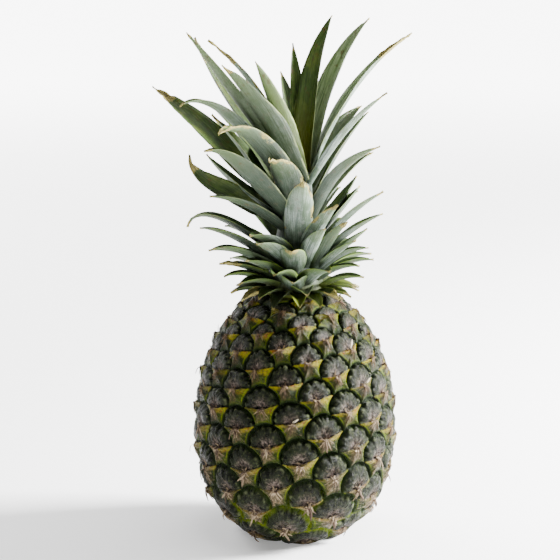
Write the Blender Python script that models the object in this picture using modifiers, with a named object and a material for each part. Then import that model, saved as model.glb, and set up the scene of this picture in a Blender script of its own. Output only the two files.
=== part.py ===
"""A whole pineapple with its crown, standing upright on its base.

Three grown pieces, each one named object: the fruit with its eyes and bracts in
relief, the crown as one leafy stem, and the cut end of the stalk under the fruit.
Units are metres, +Z is up, and the side shown in the photograph faces -Y.
Angles named turn are measured round the axis from -Y towards +X.
"""

import math
import random

import bmesh
import bpy
from mathutils import Vector

# Fruit: a superellipse turned round the axis, fuller below its widest level.
FRUIT_RADIUS = 0.0638
WIDEST_Z = 0.071
RISE_ABOVE = 0.091
DROP_BELOW = 0.0775
FULLNESS_ABOVE = 2.05
FULLNESS_BELOW = 2.25
FRUIT_TOP_Z = 0.157

# Eyes: set along one spiral, each with the share of the rind that it covers.
EYE_TURN = -137.354
FIRST_EYE_TURN = 286.4
FIRST_EYE_COUNT = 0.48
EYE_AREA = 0.0004768
EYE_AREA_FALL = 0.402
GROOVE_DEPTH = 0.0030
GROOVE_BOW = 0.15
CORNER_DROP = 0.0016
HEART_DROP = 0.0035
HEART_RISE = 0.0016

# Rings of an eye, from its rim inwards: the share of the way from the heart to the
# groove on the disc, the disc's rise there, and the same two for the bract.
EYE_RINGS = (
    (0.85, 0.0004, 0.93, -0.0010),
    (0.45, 0.0004, 0.45, 0.0011),
)

# Stalk: what is left of it in the hollow under the fruit.
STALK_RADIUS = 0.0105
STALK_HEIGHT = 0.0060
STALK_BEVEL = 0.0008
PIECE_GAP = 0.0003

# Crown: a short stem that tapers and drifts a little to +X.
STEM_RADIUS = 0.0190
STEM_TIP_RADIUS = 0.0060
STEM_TOP_Z = 0.2340
STEM_DRIFT = 0.0040
ROOT_SINK = 0.0030
LEAF_THICKNESS = 0.0012
LEAF_TIP_HALF_WIDTH = 0.0007
LEAF_CHANNEL = 0.55
LEAF_ROW_LENGTH = 0.018
LEAF_CLEARANCE = 0.0024
ROOT_CLEARANCE = 0.0011

# Leaves that stand out in the photograph: turn, height of the root, length,
# lean from the vertical, droop along the leaf, curl of the tip, sideways sweep,
# width. Angles in degrees, sizes in millimetres.
LEAVES_SEEN = (
    (-62, 230, 120, 38, 1, 0, 0, 20),
    (-118, 230, 113, 50, -24, 0, 0, 18),
    (-80, 231, 104, 18, 36, 0, 0, 16),
    (-44, 229, 101, 31, 23, 0, 0, 28),
    (-30, 231, 91, 28, 12, 0, -4, 20),
    (-160, 230, 73, 16, 30, 0, 0, 14),
    (-165, 231, 84, 6, 14, 0, 0, 14),
    (140, 231, 105, 0, 38, 0, 0, 22),
    (129, 224, 119, 10, 42, 0, 0, 22),
    (108, 228, 116, 22, 36, 0, -10, 15),
    (72, 224, 81, 30, 24, 0, 0, 15),
    (115, 212, 72, 28, 21, 0, 0, 16),
    (62, 200, 75, 22, 50, 0, 0, 20),
    (108, 193, 48, 45, -14, 0, 0, 16),
    (99, 190, 46, 44, -7, 0, 0, 16),
    (78, 182, 61, 37, 24, 0, 0, 17),
    (80, 177, 54, 44, 22, 0, 0, 16),
    (84, 172, 42, 48, 5, 0, 0, 16),
    (64, 172, 36, 48, 10, 0, 0, 15),
    (76, 170, 39, 45, 42, 0, 0, 16),
    (84, 165, 39, 49, 48, 0, 0, 15),
    (62, 166, 34, 52, 40, 0, 0, 15),
    (72, 161, 32, 58, 40, 0, 0, 14),
    (-126, 206, 138, 51, 17, 0, -7, 24),
    (-110, 206, 80, 33, 15, 0, 0, 18),
    (-66, 222, 108, 37, 25, 55, 20, 22),
    (-44, 217, 102, 33, 58, 15, 20, 28),
    (-54, 206, 82, 45, 4, 50, 4, 30),
    (-95, 200, 77, 56, 24, -94, 6, 20),
    (-106, 205, 65, 62, -20, 0, 0, 18),
    (-20, 199, 70, 11, 70, 14, 0, 28),
    (6, 188, 56, 16, 42, 0, 0, 24),
    (38, 184, 46, 31, 24, 0, 0, 20),
    (53, 171, 45, 27, 24, 0, 0, 20),
    (26, 174, 42, 30, 30, 0, 0, 18),
    (-66, 198, 56, 49, 37, 0, -4, 20),
    (-84, 182, 68, 51, 27, 100, -20, 18),
    (-72, 176, 57, 51, 24, 12, 0, 18),
    (-60, 173, 50, 57, 23, 17, 0, 18),
    (-40, 184, 37, 52, 30, 0, 0, 24),
    (-32, 178, 38, 50, 30, 0, 0, 22),
    (-4, 172, 36, 40, 40, 0, 0, 22),
    (-42, 171, 35, 58, 24, 0, 0, 18),
    (-18, 166, 32, 50, 50, 0, 0, 20),
    (-2, 162, 30, 50, 50, 0, 0, 22),
    (28, 165, 34, 50, 40, 0, 0, 22),
    (10, 160, 27, 60, 55, 0, 0, 18),
    (-72, 167, 38, 60, 30, 0, 0, 16),
    (-66, 163, 36, 56, 50, 0, 0, 15),
    (-48, 163, 32, 62, 40, 0, 0, 16),
    (-52, 159, 28, 72, 55, 0, 0, 14),
    (-34, 160, 26, 70, 50, 0, 0, 14),
    (-20, 159, 27, 72, 75, 0, 0, 14),
    (4, 158, 24, 76, 50, 0, 0, 14),
    (42, 159, 26, 72, 45, 0, 0, 14),
    (24, 158, 24, 74, 60, 0, 0, 13),
)

# Leaves of the sides and back, set by the same kind of spiral as the eyes.
SPIRAL_LEAVES = 84
SPIRAL_START_TURN = 40
SPIRAL_LOW_Z = 158.5
SPIRAL_RISE = 58
SPIRAL_CLEARANCE = 5.5
SPIRAL_SEED = 7

# Short leaves round the crown's foot, on the sides and back, at two heights.
COLLAR_LEAVES = 11
COLLAR_START_TURN = 64
COLLAR_STEP = 21.2
COLLAR_LOW_Z = 158.4
COLLAR_STAGGER = 1.4
COLLAR_LENGTH = 24
COLLAR_LEAN = 73
COLLAR_DROOP = 48
COLLAR_WIDTH = 14


def profile_reach(radius, z):
    """How far out a point lies: 1 on the rind's outer surface, less inside."""
    across = radius / FRUIT_RADIUS
    if z > WIDEST_Z:
        along, power = (z - WIDEST_Z) / RISE_ABOVE, FULLNESS_ABOVE
    else:
        along, power = (WIDEST_Z - z) / DROP_BELOW, FULLNESS_BELOW
    return (across ** power + along ** power) ** (1 / power)


def on_rind(point, rise=0.0):
    """The point of the rind's outer surface in line with a point, plus a rise."""
    middle = Vector((0, 0, WIDEST_Z))
    spoke = point - middle
    reach = profile_reach(math.hypot(point.x, point.y), point.z)
    surface = spoke / reach
    return middle + surface * (1 + rise / surface.length)


def rind_radius(z):
    """Radius of the outer surface at a height."""
    if z > WIDEST_Z:
        along, power = (z - WIDEST_Z) / RISE_ABOVE, FULLNESS_ABOVE
    else:
        along, power = (WIDEST_Z - z) / DROP_BELOW, FULLNESS_BELOW
    return FRUIT_RADIUS * max(1 - along ** power, 0) ** (1 / power)


def eye_area(z):
    """Area of rind that an eye covers: smaller towards the crown."""
    return EYE_AREA * (1 - EYE_AREA_FALL * (z - 0.075) / 0.075)


def eye_centres():
    """Centres of the eyes, each where the spiral has covered its share of rind."""
    steps = 2000
    low = WIDEST_Z - DROP_BELOW
    high = WIDEST_Z + RISE_ABOVE
    counts = []
    count = 0.0
    for step in range(steps + 1):
        z = low + (high - low) * step / steps
        radius = rind_radius(z)
        if step:
            slant = math.hypot(z - last_z, radius - last_radius)
            count += math.pi * (radius + last_radius) * slant / eye_area(z)
        counts.append((count, z))
        last_z, last_radius = z, radius
    count_at_ground = next(c for c, z in counts if z >= 0)
    centres = [Vector((0, 0, low)), Vector((0, 0, high))]
    first = math.ceil(1.2 - count_at_ground - FIRST_EYE_COUNT)
    number = first
    for count, z in counts:
        due = number + FIRST_EYE_COUNT + count_at_ground
        if count >= due and count < counts[-1][0] - 0.7:
            turn = math.radians(FIRST_EYE_TURN + EYE_TURN * number)
            radius = rind_radius(z)
            centres.append(Vector((radius * math.sin(turn), -radius * math.cos(turn), z)))
            number += 1
    return centres


def eye_net():
    """The eyes' centres joined to their neighbours, as one convex net."""
    net = bmesh.new()
    for centre in eye_centres():
        net.verts.new(centre)
    bmesh.ops.convex_hull(net, input=list(net.verts))
    net.verts.ensure_lookup_table()
    net.verts.index_update()
    net.faces.index_update()
    net.normal_update()
    return net


def down_the_rind(point, normal, distance):
    """A point moved down along the surface that has this normal."""
    downward = normal.cross(Vector((0, 0, 1)).cross(normal))
    if downward.length < 0.05:
        return point
    return point - downward.normalized() * distance


def groove_corner(face):
    """Where three eyes meet: a little lower than the middle between them."""
    middle = down_the_rind(face.calc_center_median(), face.normal, CORNER_DROP)
    return on_rind(middle, -GROOVE_DEPTH)


def groove_middle(edge, start, end):
    """Middle of the groove between two eyes, bowed into the upper one.

    The bows make every disc round and every bract a star with four points.
    """
    low, high = sorted((vert.co for vert in edge.verts), key=lambda place: place.z)
    chord = end - start
    across = (high - low) - chord * ((high - low).dot(chord) / chord.length_squared)
    bow = across.normalized() * chord.length * GROOVE_BOW
    return on_rind((start + end) / 2 + bow, -GROOVE_DEPTH)


def eye_border(centre, corners, middles):
    """Groove points round an eye, in order, each with whether the disc meets it."""
    border = []
    face = centre.link_faces[0]
    edge = next(edge for edge in face.edges if centre in edge.verts)
    start = edge
    while True:
        after = next(e for e in face.edges if centre in e.verts and e is not edge)
        upper = edge.other_vert(centre).co.z > centre.co.z
        both_upper = upper and after.other_vert(centre).co.z > centre.co.z
        border.append((middles[edge.index], upper))
        border.append((corners[face.index], both_upper))
        if after is start:
            return border
        edge = after
        face = next(f for f in edge.link_faces if f is not face)


def make_fruit():
    """The rind: one closed surface, every eye raised from it by the same rule."""
    net = eye_net()
    net.edges.index_update()
    rind = bmesh.new()
    corners = {face.index: rind.verts.new(groove_corner(face)) for face in net.faces}
    middles = {}
    for edge in net.edges:
        start, end = [corners[face.index].co for face in edge.link_faces]
        middles[edge.index] = rind.verts.new(groove_middle(edge, start, end))

    for centre in net.verts:
        size = math.sqrt(eye_area(centre.co.z) / EYE_AREA)
        low = down_the_rind(centre.co, centre.normal, HEART_DROP * size)
        heart = rind.verts.new(on_rind(low, HEART_RISE))
        border = eye_border(centre, corners, middles)
        rings = [[vert for vert, _ in border]]
        for disc_share, disc_rise, bract_share, bract_rise in EYE_RINGS:
            ring = []
            for vert, on_disc in border:
                share, rise = (disc_share, disc_rise) if on_disc else (bract_share, bract_rise)
                ring.append(rind.verts.new(on_rind(low.lerp(vert.co, share), rise)))
            rings.append(ring)
        count = len(border)
        for outer, inner in zip(rings, rings[1:]):
            for here in range(count):
                there = (here + 1) % count
                rind.faces.new((outer[here], outer[there], inner[there], inner[here]))
        for here in range(count):
            rind.faces.new((rings[-1][here], rings[-1][(here + 1) % count], heart))
    net.free()

    for vert in rind.verts:
        vert.co.z = min(max(vert.co.z, 0.0), FRUIT_TOP_Z)
    bmesh.ops.triangulate(rind, faces=list(rind.faces))
    bmesh.ops.recalc_face_normals(rind, faces=list(rind.faces))
    return new_object("fruit", rind)


def new_object(name, mesh_data):
    """An object from a bmesh, in the part's own collection."""
    mesh = bpy.data.meshes.new(name)
    mesh_data.to_mesh(mesh)
    mesh_data.free()
    thing = bpy.data.objects.new(name, mesh)
    PART.objects.link(thing)
    return thing


def apply_modifiers(thing):
    """Make the modified shape the object's own mesh."""
    depsgraph = bpy.context.evaluated_depsgraph_get()
    mesh = bpy.data.meshes.new_from_object(thing.evaluated_get(depsgraph))
    thing.modifiers.clear()
    old = thing.data
    thing.data = mesh
    bpy.data.meshes.remove(old)


def hollow_for_stalk(fruit):
    """Cut the hollow that the stalk's end fills."""
    depth = STALK_HEIGHT + PIECE_GAP
    bpy.ops.mesh.primitive_cylinder_add(
        vertices=24,
        radius=STALK_RADIUS + PIECE_GAP,
        depth=2 * depth,
        location=(0, 0, 0),
    )
    cutter = bpy.context.object
    cutter.name = "stalk_hollow"
    move_to(cutter, CUTTERS)
    cutter.display_type = "WIRE"
    cutter.hide_render = True
    cut = fruit.modifiers.new("stalk_hollow", "BOOLEAN")
    cut.operation = "DIFFERENCE"
    cut.solver = "EXACT"
    cut.object = cutter
    apply_modifiers(fruit)


def move_to(thing, collection):
    """Keep an object in one collection only."""
    for old in list(thing.users_collection):
        old.objects.unlink(thing)
    collection.objects.link(thing)


def make_stalk():
    """The cut end of the stalk: its flat cut face is what the fruit stands on."""
    bpy.ops.mesh.primitive_cylinder_add(
        vertices=24,
        radius=STALK_RADIUS,
        depth=STALK_HEIGHT,
        location=(0, 0, STALK_HEIGHT / 2),
    )
    stalk = bpy.context.object
    stalk.name = "cut_stalk"
    move_to(stalk, PART)
    bevel = stalk.modifiers.new("worn_rim", "BEVEL")
    bevel.width = STALK_BEVEL
    bevel.segments = 1
    bevel.limit_method = "ANGLE"
    apply_modifiers(stalk)
    return stalk


def stem_at(z):
    """Centre and radius of the crown's stem at a height."""
    base = FRUIT_TOP_Z + PIECE_GAP
    share = min(max((z - base) / (STEM_TOP_Z - base), 0), 1)
    centre = Vector((STEM_DRIFT * share ** 2, 0, z))
    return centre, STEM_RADIUS + (STEM_TIP_RADIUS - STEM_RADIUS) * share


def make_stem():
    """The crown's stem, round and tapered, with a blunt tip."""
    levels = 8
    sides = 14
    base = FRUIT_TOP_Z + PIECE_GAP
    stem = bmesh.new()
    rings = []
    for level in range(levels + 1):
        centre, radius = stem_at(base + (STEM_TOP_Z - base) * level / levels)
        ring = []
        for side in range(sides):
            angle = 2 * math.pi * side / sides
            offset = Vector((math.cos(angle), math.sin(angle), 0)) * radius
            ring.append(stem.verts.new(centre + offset))
        rings.append(ring)
    for low, high in zip(rings, rings[1:]):
        for side in range(sides):
            after = (side + 1) % sides
            stem.faces.new((low[side], low[after], high[after], high[side]))
    stem.faces.new(list(reversed(rings[0])))
    stem.faces.new(rings[-1])
    bmesh.ops.recalc_face_normals(stem, faces=list(stem.faces))
    return new_object("crown", stem)


def clear_of_fruit(point):
    """Move a leaf's point out until it clears the rind below the crown."""
    radius = math.hypot(point.x, point.y)
    if point.z > FRUIT_TOP_Z + LEAF_CLEARANCE:
        return point
    if radius < STEM_RADIUS:
        return Vector((point.x, point.y, max(point.z, FRUIT_TOP_Z + ROOT_CLEARANCE)))
    if profile_reach(radius, point.z) > 1 + LEAF_CLEARANCE / FRUIT_RADIUS:
        return point
    return on_rind(point, LEAF_CLEARANCE)


def leaf_half_width(width, share):
    """Half width along a leaf: clasping at the root, a long taper to the tip."""
    taper = (0.6 + 1.1 * share) * max(1 - share ** 1.35, 0) ** 0.9
    return max(width / 2 * taper, LEAF_TIP_HALF_WIDTH)


def make_leaf(turn, height, length, lean, droop, curl, sweep, width):
    """One leaf: a grid bent along its mid line, channelled, then thickened."""
    length, width = length / 1000, width / 1000
    centre, stem_radius = stem_at(height / 1000)
    angle = math.radians(turn)
    start = Vector((math.sin(angle), -math.cos(angle), 0)) * (stem_radius - ROOT_SINK)
    spine = centre + start
    rows = max(3, round(length / LEAF_ROW_LENGTH))
    blade = bmesh.new()
    lines = []
    for row in range(rows + 1):
        share = row / rows
        tilt = math.radians(lean + droop * share ** 1.5 + curl * share ** 6)
        heading = math.radians(turn + sweep * share)
        outward = Vector((math.sin(heading), -math.cos(heading), 0))
        side = Vector((math.cos(heading), math.sin(heading), 0))
        along = outward * math.sin(tilt) + Vector((0, 0, math.cos(tilt)))
        inner = Vector((0, 0, math.sin(tilt))) - outward * math.cos(tilt)
        half = leaf_half_width(width, share)
        line = []
        for across in (-1, 0, 1):
            rise = LEAF_CHANNEL * half * (across ** 2 - 0.35)
            point = spine + side * half * across + inner * rise
            line.append(blade.verts.new(clear_of_fruit(point)))
        lines.append(line)
        spine = spine + along * length / rows
    for low, high in zip(lines, lines[1:]):
        for cell in (0, 1):
            blade.faces.new((low[cell], low[cell + 1], high[cell + 1], high[cell]))
    leaf = new_object("leaf", blade)
    move_to(leaf, LEAVES)
    thick = leaf.modifiers.new("thickness", "SOLIDIFY")
    thick.thickness = LEAF_THICKNESS
    thick.offset = 0
    return leaf


def spiral_leaves():
    """Leaves of the sides and back, where no leaf chosen by hand grows."""
    draw = random.Random(SPIRAL_SEED)
    taken = [(leaf[0], leaf[1]) for leaf in LEAVES_SEEN]
    chosen = []
    for number in range(SPIRAL_LEAVES):
        share = (number + 0.5) / SPIRAL_LEAVES
        height = SPIRAL_LOW_Z + share * SPIRAL_RISE
        turn = (SPIRAL_START_TURN - EYE_TURN * number) % 360
        facing = math.cos(math.radians(turn))
        sideways = abs(math.sin(math.radians(turn)))
        if (facing > 0 and height > 168) or (sideways > 0.75 and height > 178):
            continue
        if min(leaf_distance(turn, height, *other) for other in taken) < SPIRAL_CLEARANCE:
            continue
        taken.append((turn, height))
        grown = share ** 0.9
        length = 24 + 66 * grown + draw.uniform(-4, 6)
        lean = 62 - 22 * share + draw.uniform(-5, 5)
        droop = 40 - 8 * share + draw.uniform(-10, 10)
        sweep = draw.uniform(-6, 6)
        width = 15 + 6 * share + draw.uniform(-1, 1.5)
        chosen.append((turn, height, length, lean, droop, 0, sweep, width))
    return chosen


def collar_leaves():
    """Short leaves round the crown's foot, on the sides and back."""
    ring = []
    for number in range(COLLAR_LEAVES):
        turn = COLLAR_START_TURN + number * COLLAR_STEP
        height = COLLAR_LOW_Z + COLLAR_STAGGER * (number % 2)
        length = COLLAR_LENGTH + 2 * (number % 3)
        ring.append((turn, height, length, COLLAR_LEAN, COLLAR_DROOP, 0, 0, COLLAR_WIDTH))
    return ring


def leaf_distance(turn, height, other_turn, other_height):
    """Distance in millimetres between two leaf roots, on the stem's surface."""
    apart = (turn - other_turn + 180) % 360 - 180
    return math.hypot(math.radians(apart) * 15, height - other_height)


def make_crown():
    """The stem and all its leaves, joined into the one piece that they grow as."""
    crown = make_stem()
    for leaf in list(LEAVES_SEEN) + spiral_leaves() + collar_leaves():
        make_leaf(*leaf)
    join = crown.modifiers.new("leaves", "BOOLEAN")
    join.operation = "UNION"
    join.operand_type = "COLLECTION"
    join.collection = LEAVES
    join.solver = "MANIFOLD"
    apply_modifiers(crown)
    fill_pockets(crown)
    for leaf in list(LEAVES.objects):
        bpy.data.objects.remove(leaf)
    bpy.data.collections.remove(LEAVES)
    return crown


def fill_pockets(thing):
    """Fill the small pockets that crossing leaves close off inside the crown."""
    shape = bmesh.new()
    shape.from_mesh(thing.data)
    shells = []
    left = set(shape.verts)
    while left:
        shell = set()
        edge_of_walk = [left.pop()]
        while edge_of_walk:
            vert = edge_of_walk.pop()
            shell.add(vert)
            for edge in vert.link_edges:
                other = edge.other_vert(vert)
                if other in left:
                    left.remove(other)
                    edge_of_walk.append(other)
        shells.append(shell)
    outer = max(shells, key=len)
    pockets = [vert for shell in shells if shell is not outer for vert in shell]
    bmesh.ops.delete(shape, geom=pockets, context="VERTS")
    shape.to_mesh(thing.data)
    shape.free()


def new_material(name, colour, roughness):
    """A plain finish: base colour and roughness."""
    material = bpy.data.materials.new(name)
    material.use_nodes = True
    shader = material.node_tree.nodes["Principled BSDF"]
    shader.inputs["Base Color"].default_value = (*colour, 1)
    shader.inputs["Roughness"].default_value = roughness
    shader.inputs["Metallic"].default_value = 0
    material.diffuse_color = (*colour, 1)
    return material


def new_collection(name):
    """A collection linked to the scene."""
    collection = bpy.data.collections.new(name)
    bpy.context.scene.collection.children.link(collection)
    return collection


for thing in list(bpy.data.objects):
    bpy.data.objects.remove(thing)

PART = new_collection("pineapple")
CUTTERS = new_collection("cutters")
LEAVES = new_collection("leaves")

fruit = make_fruit()
hollow_for_stalk(fruit)
stalk = make_stalk()
crown = make_crown()

fruit.data.materials.clear()
fruit.data.materials.append(new_material("rind", (0.17, 0.16, 0.06), 0.55))
stalk.data.materials.clear()
stalk.data.materials.append(new_material("cut_fibre", (0.45, 0.36, 0.20), 0.85))
crown.data.materials.clear()
crown.data.materials.append(new_material("leaf", (0.19, 0.26, 0.16), 0.50))
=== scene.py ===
"""The looks of the pineapple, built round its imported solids."""

import math
import random

import bmesh
import bpy
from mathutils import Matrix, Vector, noise


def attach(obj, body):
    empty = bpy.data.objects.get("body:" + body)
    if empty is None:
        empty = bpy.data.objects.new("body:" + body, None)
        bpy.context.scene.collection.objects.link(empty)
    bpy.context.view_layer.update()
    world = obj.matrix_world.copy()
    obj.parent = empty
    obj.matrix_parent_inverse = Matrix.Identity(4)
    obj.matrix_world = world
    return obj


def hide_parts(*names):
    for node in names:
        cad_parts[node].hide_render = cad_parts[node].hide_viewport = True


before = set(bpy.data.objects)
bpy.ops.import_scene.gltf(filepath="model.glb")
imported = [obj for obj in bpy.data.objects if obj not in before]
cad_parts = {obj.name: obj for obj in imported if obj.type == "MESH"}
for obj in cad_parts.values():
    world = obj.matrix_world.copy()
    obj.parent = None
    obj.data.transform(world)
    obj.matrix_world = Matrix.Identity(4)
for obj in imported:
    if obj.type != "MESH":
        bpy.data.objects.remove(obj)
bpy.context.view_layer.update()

MM = 0.001

# Camera: the photograph's eye level and distance, with the lens and sensor in mm.
CAMERA_RISE = math.radians(12)
CAMERA_DISTANCE = 1.18
CAMERA_TARGET = Vector((-0.0095, 0, 0.165))
CAMERA_LENS = 119.5
CAMERA_SENSOR = 36

# Light: the surroundings, and each lamp's name, place, aim, size and power.
WORLD_STRENGTH = 0.17
LAMPS = (
    ("key", (1.29, 0.17, 0.62), (0, 0, 0.16), 0.40, 245),
    ("fill", (-1.0, 0.9, 0.9), (0, 0, 0.16), 0.80, 30),
    ("top", (0.3, 0.1, 1.6), (0, 0, 0.1), 1.2, 30),
)

# Floor: its width, and the distances and strengths between which its glow grows.
FLOOR_SIZE = 60
FLOOR_GLOW = (0.3, 3.0, 0.3, 8.0)

# Fruit, as in the solids: a superellipse turned round the axis.
FRUIT_RADIUS = 0.0638
WIDEST_Z = 0.071
RISE_ABOVE = 0.091
DROP_BELOW = 0.0775
FULLNESS_ABOVE = 2.05
FULLNESS_BELOW = 2.25
FRUIT_TOP_Z = 0.157
PROFILE_STEPS = 2000
EYE_TURN = -137.354
FIRST_EYE_TURN = 286.4
FIRST_EYE_COUNT = 0.48
EYE_AREA = 0.0004768
EYE_AREA_FALL = 0.402
EYE_AREA_Z = 0.075
LARGEST_EYE = 1.2
STALK_RADIUS = 0.0105
STALK_HEIGHT = 0.0060
HOLLOW_MOUTH = 0.0025
HOLLOW_WALL = 0.0008
PIECE_GAP = 0.0003

# Seeds of the random draws.
RIND_SEED = 11
TUFT_SEED = 23
CROWN_SEED = 31
SPIRAL_SEED = 7

# Relief of one eye, in millimetres above the fruit's outer surface. Each ring
# round the eye's heart has its share of the way out on the bract and on the disc,
# its height on the disc, and its heights on the bract, between its ridges and
# along them.
GROOVE_DEPTH = 3.1
EYE_RINGS = (
    (0.985, 1.055, -3.0, -2.3, -2.0),
    (0.965, 1.000, -2.3, -1.7, -1.3),
    (0.930, 0.960, -0.7, -1.4, -0.8),
    (0.870, 0.900, 0.20, -1.0, -0.3),
    (0.760, 0.800, 0.75, -0.5, 0.1),
    (0.640, 0.670, 0.90, 0.1, 0.5),
    (0.520, 0.540, 0.70, 0.6, 0.9),
    (0.400, 0.410, 0.20, 1.1, 1.2),
    (0.280, 0.290, -0.50, 1.5, 1.4),
    (0.170, 0.180, -1.00, 1.7, 1.5),
    (0.080, 0.080, -0.80, 1.5, 1.4),
)
HEART_HEIGHT = 1.2
FINE_RINGS = 6
SIDE_PARTS = 12
SIDE_BOW = 0.150
BOW_SHARES = (0.8, 1.15)
CORNER_DROP = 1.6
CORNER_STRAY = 0.4
HEART_DROP = 3.5
HEART_ASIDE = 1.0
HEART_STRAY = 0.6
EYE_LIFTS = (-0.3, 0.4)
BRACT_LIFT_SHARE = 0.4
BRACT_RIDGE_POWER = 1.5
DISC_LIMIT = 0.91
DISC_SCALLOP = 0.18
MIDDLE_LOBE = 0.6
LOBE_WIDTHS = (3, 4, 4, 5, 5, 6, 8)
LOBE_HEIGHTS = (0.5, 1.0)
LOBE_ROUNDING = 0.6
NOTCH_HEIGHTS = (0.10, 0.50)
CREASE_STARTS = (0.62, 0.90)
CREASE_REACH = 0.3
CREASE_DEPTH = 1.1

# The slit between a disc and its bract: how far from it the disc rises, and the
# height that it rises from, in millimetres.
SLIT_GAPS = (0.25, 1.9)
SLIT_HEIGHT = -1.5

# Grain of the relief: the sizes of its two noises, the heights in millimetres
# of both and of each spoke's wrinkle on a disc, and those on a bract.
GRAIN_SIZE = 3.0
FINE_GRAIN_SIZE = 1.3
DISC_GRAIN = (0.55, 0.42, 0.16)
BRACT_GRAIN = 0.14
BRACT_WRINKLE = 0.2

# Dry strips in each eye: how many, their middle heading and its spread in
# degrees, and the least and most of their length, width and lift. Then the
# heights between which an eye has them.
TUFT_STRIPS = (
    (8, -90, 52, (2.5, 7.5), (0.30, 0.75), (0.0, 0.4)),
    (6, -90, 120, (1.0, 2.6), (0.60, 1.40), (0.2, 1.0)),
    (4, 90, 85, (1.2, 3.6), (0.35, 0.90), (0.2, 1.2)))
TUFT_LOW_Z = 0.002
TUFT_HIGH_Z = 0.154

# A strip's form: rows along it, where it starts, its bend, twist and wander, the
# power by which it lifts, and its clearance, crest and thickness in millimetres.
STRIP_ROWS = 5
STRIP_START_X = (-1.2, 1.2)
STRIP_START_Y = (-0.5, 1.2)
STRIP_BEND = 0.5
STRIP_TWIST = 0.4
STRIP_WANDER = 0.25
STRIP_CURLS = (0.2, 1.4)
STRIP_CLEARANCE = 0.35
STRIP_CREST = 0.22
STRIP_THICKNESS = 0.18
STRIP_SINK_SHARE = 0.9
EYE_REACH = 10.5

# A pale strip as long and wide as a seed, with its lift, in a few eyes.
SEED_CHANCE = 0.12
SEED_SHAPE = (4.5, 1.5, 1.8)
SEED_TONE = 1.4

# Stiff bract tips that stand off the lower eyes: tries in each eye, the chance
# of each at the foot, the heights between which it grows, and their ranges.
SPIKE_TRIES = 2
SPIKE_CHANCE = 0.60
SPIKE_HEIGHTS = (0.115, 0.03)
SPIKE_SPREAD = 40
SPIKE_LENGTHS = (4, 8.5)
SPIKE_WIDTHS = (1.0, 1.7)
SPIKE_LIFTS = (1.5, 4.5)
SPIKE_TONES = (0.1, 0.6)

# Crown stem and leaf blades, placed as in the solids. A blade's channel, waves and
# torn parts are shares of its half width.
STEM_RADIUS = 0.0190
STEM_TIP_RADIUS = 0.0060
STEM_TOP_Z = 0.2340
STEM_DRIFT = 0.0040
STEM_LEVELS = 24
STEM_SIDES = 32
ROOT_SINK = 0.0030
LEAF_CLEARANCE = 0.0024
ROOT_CLEARANCE = 0.0011
LEAF_CHANNEL = 0.60
CHANNEL_MIDDLE = 0.35
LEAF_WAVES = (0.5, 1.2)
CRUMPLE_HEIGHT = 0.0015
CRUMPLE_SHRINK = 0.60
NICK_DEPTH = 0.06
TORN_DEPTH = 0.40
LEAF_COLUMNS = 8
LEAF_ROW_LENGTH = 0.0032
LEAF_THICKNESS = 0.9
TIP_THICKNESS = 0.4
DRAWN_WEAR = (0.0, 0.35)

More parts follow.
